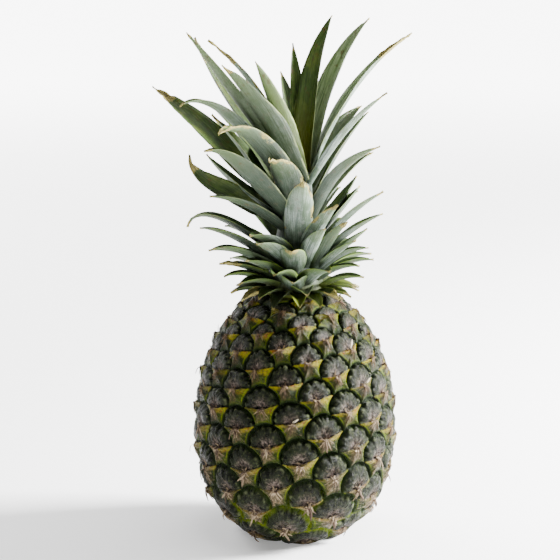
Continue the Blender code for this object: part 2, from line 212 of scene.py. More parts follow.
# Leaves that stand out in the photograph: turn, height of the root, length,
# lean from the vertical, droop along the leaf, curl of the tip, sideways sweep,
# width, dry share of the tip. Angles in degrees, sizes in millimetres.
LEAVES_SEEN = (
    (-62, 230, 120, 38, 1, 0, 0, 20, 0.03),
    (-118, 230, 113, 50, -24, 0, 0, 18, 0.16),
    (-80, 231, 104, 18, 36, 0, 0, 16, 0.22),
    (-44, 229, 101, 31, 23, 0, 0, 28, 0.08),
    (-30, 231, 91, 28, 12, 0, -4, 20, 0.02),
    (-160, 230, 73, 16, 30, 0, 0, 14, 0.05),
    (-165, 231, 84, 6, 14, 0, 0, 14, 0.05),
    (140, 231, 105, 0, 38, 0, 0, 22, 0.02),
    (129, 224, 119, 10, 42, 0, 0, 22, 0.04),
    (108, 228, 116, 22, 36, 0, -10, 15, 0.22),
    (72, 224, 81, 30, 24, 0, 0, 15, 0.08),
    (115, 212, 72, 28, 21, 0, 0, 16, 0.03),
    (62, 200, 75, 22, 50, 0, 0, 20, 0.08),
    (108, 193, 48, 45, -14, 0, 0, 16, 0.03),
    (99, 190, 46, 44, -7, 0, 0, 16, 0.03),
    (78, 182, 61, 37, 24, 0, 0, 17, 0.06),
    (80, 177, 54, 44, 22, 0, 0, 16, 0.04),
    (84, 172, 42, 48, 5, 0, 0, 16, 0.05),
    (64, 172, 36, 48, 10, 0, 0, 15, 0.05),
    (76, 170, 39, 45, 42, 0, 0, 16, 0.05),
    (84, 165, 39, 49, 48, 0, 0, 15, 0.05),
    (62, 166, 34, 52, 40, 0, 0, 15, 0.05),
    (72, 161, 32, 58, 40, 0, 0, 14, 0.06),
    (-126, 206, 138, 51, 17, 0, -7, 24, 0.14),
    (-110, 206, 80, 33, 15, 0, 0, 18, 0.10),
    (-66, 222, 108, 37, 25, 55, 20, 22, 0.03),
    (-44, 217, 102, 33, 58, 15, 20, 28, 0.10),
    (-54, 206, 82, 45, 4, 50, 4, 30, 0.06),
    (-95, 200, 77, 56, 24, -94, 6, 20, 0.16),
    (-106, 205, 65, 62, -20, 0, 0, 18, 0.04),
    (-20, 199, 70, 11, 70, 14, 0, 28, 0.16),
    (6, 188, 56, 16, 42, 0, 0, 24, 0.10),
    (38, 184, 46, 31, 24, 0, 0, 20, 0.12),
    (53, 171, 45, 27, 24, 0, 0, 20, 0.10),
    (26, 174, 42, 30, 30, 0, 0, 18, 0.06),
    (-66, 198, 56, 49, 37, 0, -4, 20, 0.05),
    (-84, 182, 68, 51, 27, 100, -20, 18, 0.06),
    (-72, 176, 57, 51, 24, 12, 0, 18, 0.04),
    (-60, 173, 50, 57, 23, 17, 0, 18, 0.05),
    (-40, 184, 37, 52, 30, 0, 0, 24, 0.05),
    (-32, 178, 38, 50, 30, 0, 0, 22, 0.05),
    (-4, 172, 36, 40, 40, 0, 0, 22, 0.20),
    (-42, 171, 35, 58, 24, 0, 0, 18, 0.05),
    (-18, 166, 32, 50, 50, 0, 0, 20, 0.05),
    (-2, 162, 30, 50, 50, 0, 0, 22, 0.05),
    (28, 165, 34, 50, 40, 0, 0, 22, 0.05),
    (10, 160, 27, 60, 55, 0, 0, 18, 0.05),
    (-72, 167, 38, 60, 30, 0, 0, 16, 0.35),
    (-66, 163, 36, 56, 50, 0, 0, 15, 0.06),
    (-48, 163, 32, 62, 40, 0, 0, 16, 0.06),
    (-52, 159, 28, 72, 55, 0, 0, 14, 0.60),
    (-34, 160, 26, 70, 50, 0, 0, 14, 0.05),
    (-20, 159, 27, 72, 75, 0, 0, 14, 0.05),
    (4, 158, 24, 76, 50, 0, 0, 14, 0.05),
    (42, 159, 26, 72, 45, 0, 0, 14, 0.40),
    (24, 158, 24, 74, 60, 0, 0, 13, 0.05),
)

# Pale leaves, by their place in the list above: above 0 for a yellow-green back,
# below 0 for a grey inner face.
PALE_LEAVES = {4: 0.9, 0: 0.35, 3: 0.15, 7: 1.0, 8: -1.0, 9: -0.9, 10: -0.9}

# How dark a leaf is: 0 for a light one, 1 for a dark one; others are drawn. Leaves 35 to 38, 42
# and 47 to 49, low on the left, are darkened this way as painted shade.
LEAF_TONES_AND_SHADES = {0: 0.7, 3: 0.8, 4: 0.4, 9: 0.0, 10: 0.2, 25: 0.6, 26: 1.0, 27: 1.0, 30: 0.8,
              31: 0.0, 32: 0.2, 35: 0.9, 36: 0.9, 37: 0.8, 38: 0.9, 39: 0.7, 40: 0.5, 41: 0.5,
              42: 1.0, 47: 0.9, 48: 0.9, 49: 0.8}

# Leaves turned about their own length, in degrees.
ROLLED_LEAVES = {23: -25, 28: -52}

# Leaves with torn, dried margins, and how far.
WORN_LEAVES = {1: 0.7, 2: 0.8, 25: 0.3, 26: 1.0, 27: 0.3, 28: 0.5, 30: 1.0, 31: 0.9, 32: 0.8}

# Leaves of the sides and back, set by the same kind of spiral as the eyes, where
# no other root is near. The front and the sides have none above their own heights.
SPIRAL_LEAVES = 84
SPIRAL_START_TURN = 40
SPIRAL_LOW_Z = 158.5
SPIRAL_RISE = 58
SPIRAL_CLEARANCE = 5.5
SPIRAL_DRY_SHARE = 0.05
SPACING_RADIUS = 15
FRONT_TOP_Z = 168
SIDE_TOP_Z = 178
SIDEWAYS = 0.75

# Their length, lean, droop and width, each at the foot and what it gains towards
# the top, with the least and most of its own draw. Then the draw of the sweep.
SPIRAL_LENGTH = (24, 66, (-4, 6))
SPIRAL_LEAN = (62, -22, (-5, 5))
SPIRAL_DROOP = (40, -8, (-10, 10))
SPIRAL_WIDTH = (15, 6, (-1, 1.5))
SPIRAL_SWEEP = (-6, 6)

# Short leaves round the crown's foot, on the sides and back, at two heights in
# turn. Angles in degrees, sizes in millimetres.
COLLAR_LEAVES = 11
COLLAR_START_TURN = 64
COLLAR_STEP = 21.2
COLLAR_LOW_Z = 158.4
COLLAR_STAGGER = 1.4
COLLAR_LENGTH = 24
COLLAR_DRY_SHARE = 0.15
COLLAR_LEAN = 73
COLLAR_DROOP = 48
COLLAR_WIDTH = 14


def srgb(red, green, blue):
    """A linear colour from 0 to 255 screen values."""
    values = []
    for value in (red, green, blue):
        value /= 255
        if value <= 0.04045:
            values.append(value / 12.92)
        else:
            values.append(((value + 0.055) / 1.055) ** 2.4)
    return (*values, 1)


def smooth(low, high, value):
    """A smooth step from 0 at low to 1 at high."""
    share = min(max((value - low) / (high - low), 0), 1)
    return share * share * (3 - 2 * share)


# The fruit's form


def profile_power(z):
    """How far along the axis a height is, from the widest level, and the fullness."""
    if z > WIDEST_Z:
        return (z - WIDEST_Z) / RISE_ABOVE, FULLNESS_ABOVE
    return (WIDEST_Z - z) / DROP_BELOW, FULLNESS_BELOW


def profile_reach(radius, z):
    """How far out a point lies: 1 on the rind's outer surface, less inside."""
    along, power = profile_power(z)
    return ((radius / FRUIT_RADIUS) ** power + along ** power) ** (1 / power)


def on_rind(point, rise=0.0):
    """The point of the rind's outer surface in line with a point, plus a rise."""
    middle = Vector((0, 0, WIDEST_Z))
    spoke = point - middle
    reach = profile_reach(math.hypot(point.x, point.y), point.z)
    surface = spoke / reach
    return middle + surface * (1 + rise / surface.length)


def rind_radius(z):
    """Radius of the outer surface at a height."""
    along, power = profile_power(z)
    return FRUIT_RADIUS * max(1 - along ** power, 0) ** (1 / power)


def eye_area(z):
    """Area of rind that an eye covers: smaller towards the crown."""
    return EYE_AREA * (1 - EYE_AREA_FALL * (z - EYE_AREA_Z) / EYE_AREA_Z)


def eye_centres():
    """Centres of the eyes, each where the spiral has covered its share of rind."""
    low = WIDEST_Z - DROP_BELOW
    high = WIDEST_Z + RISE_ABOVE
    counts = []
    count = 0.0
    for step in range(PROFILE_STEPS + 1):
        z = low + (high - low) * step / PROFILE_STEPS
        radius = rind_radius(z)
        if step:
            slant = math.hypot(z - last_z, radius - last_radius)
            count += math.pi * (radius + last_radius) * slant / eye_area(z)
        counts.append((count, z))
        last_z, last_radius = z, radius
    count_at_ground = next(c for c, z in counts if z >= 0)
    centres = [Vector((0, 0, low)), Vector((0, 0, high))]
    number = math.ceil(1.2 - count_at_ground - FIRST_EYE_COUNT)
    for count, z in counts:
        due = number + FIRST_EYE_COUNT + count_at_ground
        if count >= due and count < counts[-1][0] - 0.7:
            turn = math.radians(FIRST_EYE_TURN + EYE_TURN * number)
            radius = rind_radius(z)
            centres.append(Vector((radius * math.sin(turn), -radius * math.cos(turn), z)))
            number += 1
    return centres


class Eye:
    """One eye: its heart, its own directions and its draws of random values."""

    def __init__(self, vert, draw):
        self.number = vert.index
        self.tone = draw.random()
        self.size = math.sqrt(min(eye_area(vert.co.z) / EYE_AREA, LARGEST_EYE))
        outward = vert.normal.normalized()
        right = Vector((0, 0, 1)).cross(outward)
        if right.length < 0.05:
            right = Vector((1, 0, 0))
        upward = outward.cross(right.normalized())
        aside = draw.uniform(-HEART_ASIDE, HEART_ASIDE)
        drop = HEART_DROP * self.size + draw.uniform(-HEART_STRAY, HEART_STRAY)
        self.heart = on_rind(vert.co + (right.normalized() * aside - upward * drop) * MM)
        self.outward = (self.heart - Vector((0, 0, WIDEST_Z))).normalized()
        self.right = Vector((0, 0, 1)).cross(self.outward).normalized()
        self.upward = self.outward.cross(self.right)
        self.lift = draw.uniform(*EYE_LIFTS)

    def local(self, point):
        """A point's place across and up from the heart, in millimetres."""
        spoke = point - self.heart
        return spoke.dot(self.right) / MM, spoke.dot(self.upward) / MM


class Mesh:
    """Points, faces and the values that the material reads at each point."""

    def __init__(self, *values):
        self.points = []
        self.faces = []
        self.values = {name: [] for name in values}

    def add(self, point, *values):
        self.points.append(point)
        for rows, value in zip(self.values.values(), values):
            rows.append(value)
        return len(self.points) - 1

    def band(self, outer, inner):
        """Faces between two closed rows of points, the inner with as many or half."""
        count = len(outer)
        if len(inner) == count:
            for here in range(count):
                after = (here + 1) % count
                self.faces.append((outer[here], outer[after], inner[after], inner[here]))
            return
        for here in range(0, count, 2):
            middle, after = outer[here + 1], outer[(here + 2) % count]
            near, far = inner[here // 2], inner[(here // 2 + 1) % len(inner)]
            self.faces.append((outer[here], middle, near))
            self.faces.append((middle, after, far, near))

    def tube(self, rows):
        """Faces along equal closed rows of points, closed at both ends."""
        count = len(rows[0])
        for low, high in zip(rows, rows[1:]):
            for here in range(count):
                after = (here + 1) % count
                self.faces.append((low[here], low[after], high[after], high[here]))
        self.faces.append(tuple(reversed(rows[0])))
        self.faces.append(tuple(rows[-1]))

    def finish(self, name):
        """The object that the points and faces make."""
        mesh = bpy.data.meshes.new(name)
        mesh.from_pydata([tuple(point) for point in self.points], [], self.faces)
        mesh.polygons.foreach_set("use_smooth", [True] * len(mesh.polygons))
        thing = bpy.data.objects.new(name, mesh)
        bpy.context.scene.collection.objects.link(thing)
        for title, rows in self.values.items():
            attribute = mesh.attributes.new(title, "FLOAT_VECTOR", "POINT")
            attribute.data.foreach_set("vector", [part for row in rows for part in row])
        return thing


def rough(point, size, seed=0.0):
    """Smooth noise between -1 and 1 with features of a size in millimetres."""
    return noise.noise(Vector((point.x, point.y, point.z + seed)) / (size * MM))


def fruit_lattice():
    """The eyes' centres joined to their neighbours, as a convex net."""
    hull = bmesh.new()
    for centre in eye_centres():
        hull.verts.new(centre)
    bmesh.ops.convex_hull(hull, input=list(hull.verts))
    hull.verts.ensure_lookup_table()
    hull.verts.index_update()
    hull.faces.index_update()
    hull.normal_update()
    return hull


def add_corners(hull, fruit, draw):
    """The point where each three eyes meet, drawn down a little from their middle."""
    corners = {}
    for face in hull.faces:
        middle = face.calc_center_median()
        downward = face.normal.cross(Vector((0, 0, 1)).cross(face.normal))
        if downward.length > 0.05:
            middle = middle - downward.normalized() * CORNER_DROP * MM
        shift = Vector([draw.uniform(-CORNER_STRAY, CORNER_STRAY) for _ in range(3)]) * MM
        point = on_rind(middle + shift, -GROOVE_DEPTH * MM)
        corners[face.index] = fruit.add(point, (0, 0, 0), (0, 1, 0.5), (0, 0, 1))
    return corners


def add_sides(hull, fruit, corners, draw):
    """The groove between each two eyes, bowed into the upper one."""
    sides = {}
    for edge in hull.edges:
        first, last = sorted(face.index for face in edge.link_faces)
        low, high = sorted((vert.co for vert in edge.verts), key=lambda co: co.z)
        start, end = fruit.points[corners[first]], fruit.points[corners[last]]
        chord = end - start
        upward = high - low
        across = upward - chord * (upward.dot(chord) / chord.length_squared)
        bow = across.normalized() * chord.length * SIDE_BOW * draw.uniform(*BOW_SHARES)
        row = []
        for part in range(1, SIDE_PARTS):
            share = part / SIDE_PARTS
            point = start.lerp(end, share) + bow * 4 * share * (1 - share)
            point = on_rind(point, -GROOVE_DEPTH * MM)
            row.append(fruit.add(point, (0, 0, 0), (0, 1, 0.5), (0, 0, 1)))
        sides[first, last] = row
        sides[last, first] = row[::-1]
    return sides


def eye_border(eye, vert, corners, sides, points):
    """Points round an eye: each with its ridge share, and whether it borders the disc."""
    below = {}
    by_angle = []
    for face in vert.link_faces:
        x, y = eye.local(points[corners[face.index]])
        by_angle.append((math.atan2(y, x) % (2 * math.pi), face.index))
    by_angle.sort()
    for edge in vert.link_edges:
        pair = frozenset(face.index for face in edge.link_faces)
        below[pair] = edge.other_vert(vert).co.z < vert.co.z
    order = [index for _, index in by_angle]
    border = []
    for place, first in enumerate(order):
        last = order[(place + 1) % len(order)]
        bract_after = below[frozenset((first, last))]
        bract_before = below[frozenset((order[place - 1], first))]
        border.append((corners[first], 1.0, not (bract_after or bract_before)))
        for part, index in enumerate(sides[first, last], 1):
            border.append((index, abs(2 * part / SIDE_PARTS - 1), not bract_after))
    return border


def scallops(border, draw):
    """The disc's lobes: at each border point, the rim's height and its creases' start."""
    lobes = [(0.0, 0.2)] * len(border)
    place = 0
    while place < len(border):
        width = draw.choice(LOBE_WIDTHS)
        height = draw.uniform(*LOBE_HEIGHTS)
        lobes[place] = (draw.uniform(*NOTCH_HEIGHTS), draw.uniform(*CREASE_STARTS))
        for step in range(1, width):
            if place + step < len(border):
                lobe = height * math.sin(math.pi * step / width) ** LOBE_ROUNDING
                lobes[place + step] = (lobe, MIDDLE_LOBE)
        place += width
    return lobes


def add_eye(fruit, eye, border, draw):
    """The raised eye inside its border."""
    count = len(border)
    lobes = scallops(border, draw)
    wrinkles = [draw.uniform(-1, 1) for _ in border]
    places = [eye.local(fruit.points[index]) for index, _, _ in border]
    edges = [place for (_, _, disc), place in zip(border, places) if not disc]
    rows = [[index for index, _, _ in border]]
    for number, ring in enumerate(EYE_RINGS):
        bract_share, disc_share, disc_height, hollow_height, ridge_height = ring
        step = 1 if number < FINE_RINGS else 2
        row = []
        for spoke in range(0, count, step):
            index, ridge, disc = border[spoke]
            lobe, crease_start = lobes[spoke]
            if disc:
                limit = DISC_LIMIT + DISC_SCALLOP * (lobe - MIDDLE_LOBE)
                share = disc_share * limit
            else:
                share = bract_share
            place = eye.heart.lerp(fruit.points[index], share)
            x, y = eye.local(place)
            grains = (rough(place, GRAIN_SIZE, eye.number),
                      rough(place, FINE_GRAIN_SIZE, eye.number), wrinkles[spoke])
            if disc:
                gap = min((edge_gap(x, y, edge) for edge in edges), default=math.inf)
                open_part = smooth(*SLIT_GAPS, gap)
                crease_end = crease_start + CREASE_REACH
                crease = (1 - lobe) * smooth(crease_start, crease_end, disc_share)
                raised = disc_height + eye.lift - CREASE_DEPTH * crease * (disc_share < 0.99)
                raised += sum(depth * grain for depth, grain in zip(DISC_GRAIN, grains))
                rise = min(raised, SLIT_HEIGHT + (raised - SLIT_HEIGHT) * open_part)
            else:
                rise = hollow_height
                rise += (ridge_height - hollow_height) * ridge ** BRACT_RIDGE_POWER
                rise += BRACT_GRAIN * grains[0] + BRACT_LIFT_SHARE * eye.lift
                rise += BRACT_WRINKLE * grains[2] * smooth(0.1, 0.4, share)
            groove = 1.0 if number == 0 else 0.0
            row.append(fruit.add(
                on_rind(place, rise * eye.size ** 0.5 * MM),
                (x / eye.size, y / eye.size, eye.number),
                (1.0 if disc else 0.0, disc_share if disc else share, eye.tone),
                (lobe, 0.5 + 0.5 * wrinkles[spoke], groove)))
        rows.append(row)
    heart = fruit.add(on_rind(eye.heart, HEART_HEIGHT * MM), (0, 0, eye.number),
                      (0.5, 0, eye.tone), (0.5, 0.5, 0))
    for outer, inner in zip(rows, rows[1:]):
        fruit.band(outer, inner)
    last = rows[-1]
    for here, start in enumerate(last):
        fruit.faces.append((start, last[(here + 1) % len(last)], heart))


def edge_gap(x, y, edge):
    """Distance of a place from the line between the heart and a border place."""
    length = math.hypot(*edge)
    along = (x * edge[0] + y * edge[1]) / length
    if along < 0:
        return math.hypot(x, y)
    return abs(x * edge[1] - y * edge[0]) / length


def make_fruit():
    """The rind, every eye raised by the same rule, with its own small draws."""
    draw = random.Random(RIND_SEED)
    fruit = Mesh("eye_place", "eye_kind", "eye_look")
    hull = fruit_lattice()
    corners = add_corners(hull, fruit, draw)
    sides = add_sides(hull, fruit, corners, draw)
    eyes = []
    for vert in hull.verts:
        eye = Eye(vert, draw)
        add_eye(fruit, eye, eye_border(eye, vert, corners, sides, fruit.points), draw)
        eyes.append(eye)
    hull.free()
    for point in fruit.points:
        point.z = min(max(point.z, 0.0), FRUIT_TOP_Z)
        radius = math.hypot(point.x, point.y)
        if point.z < STALK_HEIGHT and radius < STALK_RADIUS + HOLLOW_MOUTH:
            hollow = smooth(STALK_RADIUS + HOLLOW_MOUTH, STALK_RADIUS + HOLLOW_WALL, radius)
            point.z = max(point.z, (STALK_HEIGHT + PIECE_GAP) * hollow)
    return fruit.finish("rind"), eyes


# The dry flower remains in each eye


def make_tufts(eyes):
    """Papery strips at each eye's heart: dry flower parts and the bract's tip."""
    draw = random.Random(TUFT_SEED)
    dry = Mesh("dry_look")
    for eye in eyes:
        if not TUFT_LOW_Z < eye.heart.z < TUFT_HIGH_Z:
            continue
        for group in TUFT_STRIPS:
            count, middle, spread, lengths, widths, lifts = group
            for _ in range(count):
                heading = math.radians(middle + draw.uniform(-spread, spread))
                add_strip(dry, eye, heading, draw.uniform(*lengths) * eye.size,
                          draw.uniform(*widths), draw.uniform(*lifts), draw)
        if draw.random() < SEED_CHANCE:
            heading = math.radians(draw.uniform(20, 80))
            add_strip(dry, eye, heading, *SEED_SHAPE, draw, tone=SEED_TONE)
        low_down = smooth(*SPIKE_HEIGHTS, eye.heart.z)
        for _ in range(SPIKE_TRIES):
            if draw.random() < SPIKE_CHANCE * low_down:
                heading = math.radians(-90 + draw.uniform(-SPIKE_SPREAD, SPIKE_SPREAD))
                add_strip(dry, eye, heading, draw.uniform(*SPIKE_LENGTHS),
                          draw.uniform(*SPIKE_WIDTHS), draw.uniform(*SPIKE_LIFTS), draw,
                          tone=draw.uniform(*SPIKE_TONES))
    return dry.finish("dry_flowers")


def resting_height(eye, x, y):
    """Height of the relief under a strip, from the rings' own heights."""
    share = min(math.hypot(x, y) / (EYE_REACH * eye.size), 1)
    column = 2 if y > 0.5 else 4
    last = (0.0, HEART_HEIGHT)
    for ring in reversed(EYE_RINGS):
        if ring[0] >= share:
            part = (share - last[0]) / (ring[0] - last[0])
            return last[1] + (ring[column] - last[1]) * part
        last = (ring[0], ring[column])
    return last[1]


def add_strip(dry, eye, heading, length, width, lift, draw, tone=None):
    """One thin papery strip laid from an eye's heart, with both its faces."""
    x, y = draw.uniform(*STRIP_START_X), draw.uniform(*STRIP_START_Y)
    bend = draw.uniform(-STRIP_BEND, STRIP_BEND)
    curl = draw.uniform(*STRIP_CURLS)
    tone = draw.random() if tone is None else tone
    twist = draw.uniform(-STRIP_TWIST, STRIP_TWIST)
    rows = []
    for row in range(STRIP_ROWS + 1):
        share = row / STRIP_ROWS
        course = heading + bend * share + STRIP_WANDER * draw.uniform(-1, 1)
        half = width / 2 * (0.6 + 1.5 * share * (1 - share) - 0.35 * share ** 3)
        rise = STRIP_CLEARANCE + resting_height(eye, x, y) * STRIP_SINK_SHARE
        rise += lift * share ** curl
        ring = []
        for across, under in ((-1, 0), (0, 0), (1, 0), (1, 1), (0, 1), (-1, 1)):
            side_x = x - math.sin(course) * half * across
            side_y = y + math.cos(course) * half * across
            place = eye.heart + (eye.right * side_x + eye.upward * side_y) * MM
            height = rise + STRIP_CREST * (1 - across * across) - STRIP_THICKNESS * under
            height += twist * across * half
            point = on_rind(place, height * MM)
            point.z = max(point.z, 0.0)
            ring.append(dry.add(point, (tone, share, across)))
        rows.append(ring)
        x += math.cos(course) * length / STRIP_ROWS
        y += math.sin(course) * length / STRIP_ROWS
    dry.tube(rows)


# The crown


def stem_at(z):
    """Centre and radius of the crown's stem at a height."""
    base = FRUIT_TOP_Z + PIECE_GAP
    share = min(max((z - base) / (STEM_TOP_Z - base), 0), 1)
    centre = Vector((STEM_DRIFT * share ** 2, 0, z))
    return centre, STEM_RADIUS + (STEM_TIP_RADIUS - STEM_RADIUS) * share


def clear_of_fruit(point):
    """Move a leaf's point out until it clears the rind below the crown."""
    radius = math.hypot(point.x, point.y)
    if point.z > FRUIT_TOP_Z + LEAF_CLEARANCE:
        return point
    if radius < STEM_RADIUS:
        return Vector((point.x, point.y, max(point.z, FRUIT_TOP_Z + ROOT_CLEARANCE)))
    if profile_reach(radius, point.z) > 1 + LEAF_CLEARANCE / FRUIT_RADIUS:
        return point
    return on_rind(point, LEAF_CLEARANCE)


def leaf_half_width(width, share):
    """Half width along a leaf: clasping at the root, a long taper to the tip."""
    taper = (0.6 + 1.1 * share) * max(1 - share ** 1.35, 0) ** 0.9
    return max(width / 2 * taper, 0.35 * MM)


def make_crown():
    """Stem and leaves, each leaf a closed blade with an outer and an inner face."""
    draw = random.Random(CROWN_SEED)
    crown = Mesh("leaf_place", "leaf_look", "leaf_edge")
    add_stem(crown)
    for number, leaf in enumerate(list(LEAVES_SEEN) + spiral_leaves() + collar_leaves()):
        add_leaf(crown, leaf, number, draw)
    return crown.finish("leafy_crown")


def add_stem(crown):
    """The stem between the leaves."""
    base = FRUIT_TOP_Z + PIECE_GAP
    rows = []
    for level in range(STEM_LEVELS + 1):
        centre, radius = stem_at(base + (STEM_TOP_Z - base) * level / STEM_LEVELS)
        ring = []
        for side in range(STEM_SIDES):
            angle = 2 * math.pi * side / STEM_SIDES
            out = Vector((math.cos(angle), math.sin(angle), 0))
            ring.append(crown.add(centre + out * radius, (side, 20, 0), (0, 0, 0.5), (0, 0, 0)))
        rows.append(ring)
    crown.tube(rows)


def add_leaf(crown, leaf, number, draw):
    """One blade: rows along a bent mid line, channelled, with both its faces."""
    turn, height, length = leaf[:3]
    width, dry = leaf[-2:]
    length, width = length * MM, width * MM
    centre, stem_radius = stem_at(height * MM)
    angle = math.radians(turn)
    root = Vector((math.sin(angle), -math.cos(angle), 0)) * (stem_radius - ROOT_SINK)
    spine = centre + root
    count = max(8, round(length / LEAF_ROW_LENGTH))
    tone = LEAF_TONES_AND_SHADES.get(number, draw.random())
    wave = draw.uniform(*LEAF_WAVES)
    pale = PALE_LEAVES.get(number, 0.0)
    roll = math.radians(ROLLED_LEAVES.get(number, 0.0))
    worn = WORN_LEAVES.get(number, draw.uniform(*DRAWN_WEAR))
    rows = []
    for row in range(count + 1):
        share = row / count
        tilt, heading = leaf_heading(leaf, share)
        outward = Vector((math.sin(heading), -math.cos(heading), 0))
        side = Vector((math.cos(heading), math.sin(heading), 0))
        inner = Vector((0, 0, math.sin(tilt))) - outward * math.cos(tilt)
        turned = roll * smooth(0.0, 0.3, share)
        side, inner = (side * math.cos(turned) + inner * math.sin(turned),
                       inner * math.cos(turned) - side * math.sin(turned))
        half = leaf_half_width(width, share)
        along = share * length / MM
        dried = smooth(1 - dry * 1.3, 1 - dry * 0.6, share) if dry else 0
        thickness = (LEAF_THICKNESS + (TIP_THICKNESS - LEAF_THICKNESS) * share) * MM
        ring = []
        for layer in (-1, 1):
            order = range(LEAF_COLUMNS + 1) if layer < 0 else range(LEAF_COLUMNS, -1, -1)
            for column in order:
                across = 2 * column / LEAF_COLUMNS - 1
                rise = LEAF_CHANNEL * half * (across ** 2 - CHANNEL_MIDDLE)
                ripple = noise.noise(Vector((across * 0.8, along * 0.035, number * 7.3)))
                waved = wave * half * (0.05 + 0.14 * abs(across) ** 3)
                rise += ripple * waved * min(1, 4 * share)
                crumple = noise.noise(Vector((across * 2.5, along * 0.5, number)))
                rise += dried * crumple * CRUMPLE_HEIGHT
                nick = noise.noise(Vector((across * 9, along * 0.45, number * 3.1)))
                tear = noise.noise(Vector((across, along * 0.11, number * 5.7)))
                torn = smooth(0.6, 1.0, abs(across))
                torn *= smooth(0.0, 0.3, tear + share + 0.5 * worn - 0.95)
                torn = min(1.0, worn * torn)
                shrink = 1 - CRUMPLE_SHRINK * dried * abs(crumple)
                shrink -= (NICK_DEPTH + TORN_DEPTH * torn) * abs(nick * across)
                body = thickness * (1 - 0.75 * across ** 2)
                point = spine + side * half * across * shrink
                point = clear_of_fruit(point + inner * rise) + inner * layer * body / 2
                ring.append(crown.add(point, (across * half / MM, along, number),
                                      (0.5 + 0.5 * layer, max(dried, torn), tone),
                                      (abs(across), share, pale)))
        rows.append(ring)
        tilt, heading = leaf_heading(leaf, share + 0.5 / count)
        outward = Vector((math.sin(heading), -math.cos(heading), 0))
        course = outward * math.sin(tilt) + Vector((0, 0, math.cos(tilt)))
        spine = spine + course * length / count
    crown.tube(rows)


def leaf_heading(leaf, share):
    """Tilt from the vertical and compass heading of a leaf, part way along it."""
    turn, _, _, lean, droop, curl, sweep = leaf[:7]
    tilt = math.radians(lean + droop * share ** 1.5 + curl * share ** 6)
    return tilt, math.radians(turn + sweep * share)


def drawn(measure, share, draw):
    """A measure part way up the crown, with its own draw."""
    start, gain, stray = measure
    return start + gain * share + draw.uniform(*stray)


def spiral_leaves():
    """Leaves of the sides and back, where no leaf of the list grows."""
    draw = random.Random(SPIRAL_SEED)
    taken = [(leaf[0], leaf[1]) for leaf in LEAVES_SEEN]
    chosen = []
    for number in range(SPIRAL_LEAVES):
        share = (number + 0.5) / SPIRAL_LEAVES
        height = SPIRAL_LOW_Z + share * SPIRAL_RISE
        turn = (SPIRAL_START_TURN - EYE_TURN * number) % 360
        facing = math.cos(math.radians(turn))
        sideways = abs(math.sin(math.radians(turn)))
        if facing > 0 and height > FRONT_TOP_Z:
            continue
        if sideways > SIDEWAYS and height > SIDE_TOP_Z:
            continue
        if min(leaf_distance(turn, height, *other) for other in taken) < SPIRAL_CLEARANCE:
            continue
        taken.append((turn, height))
        length = drawn(SPIRAL_LENGTH, share ** 0.9, draw)
        lean = drawn(SPIRAL_LEAN, share, draw)
        droop = drawn(SPIRAL_DROOP, share, draw)
        sweep = draw.uniform(*SPIRAL_SWEEP)
        width = drawn(SPIRAL_WIDTH, share, draw)
        chosen.append((turn, height, length, lean, droop, 0, sweep, width, SPIRAL_DRY_SHARE))
    return chosen


def collar_leaves():
    """Short leaves round the crown's foot, on the sides and back."""
    ring = []
    for number in range(COLLAR_LEAVES):
        turn = COLLAR_START_TURN + number * COLLAR_STEP
        height = COLLAR_LOW_Z + COLLAR_STAGGER * (number % 2)
        length = COLLAR_LENGTH + 2 * (number % 3)
        ring.append((turn, height, length, COLLAR_LEAN, COLLAR_DROOP, 0, 0, COLLAR_WIDTH,
                     COLLAR_DRY_SHARE))
    return ring


def leaf_distance(turn, height, other_turn, other_height):
    """Distance in millimetres between two leaf roots, on the stem's surface."""
    apart = (turn - other_turn + 180) % 360 - 180
    return math.hypot(math.radians(apart) * SPACING_RADIUS, height - other_height)


# Materials


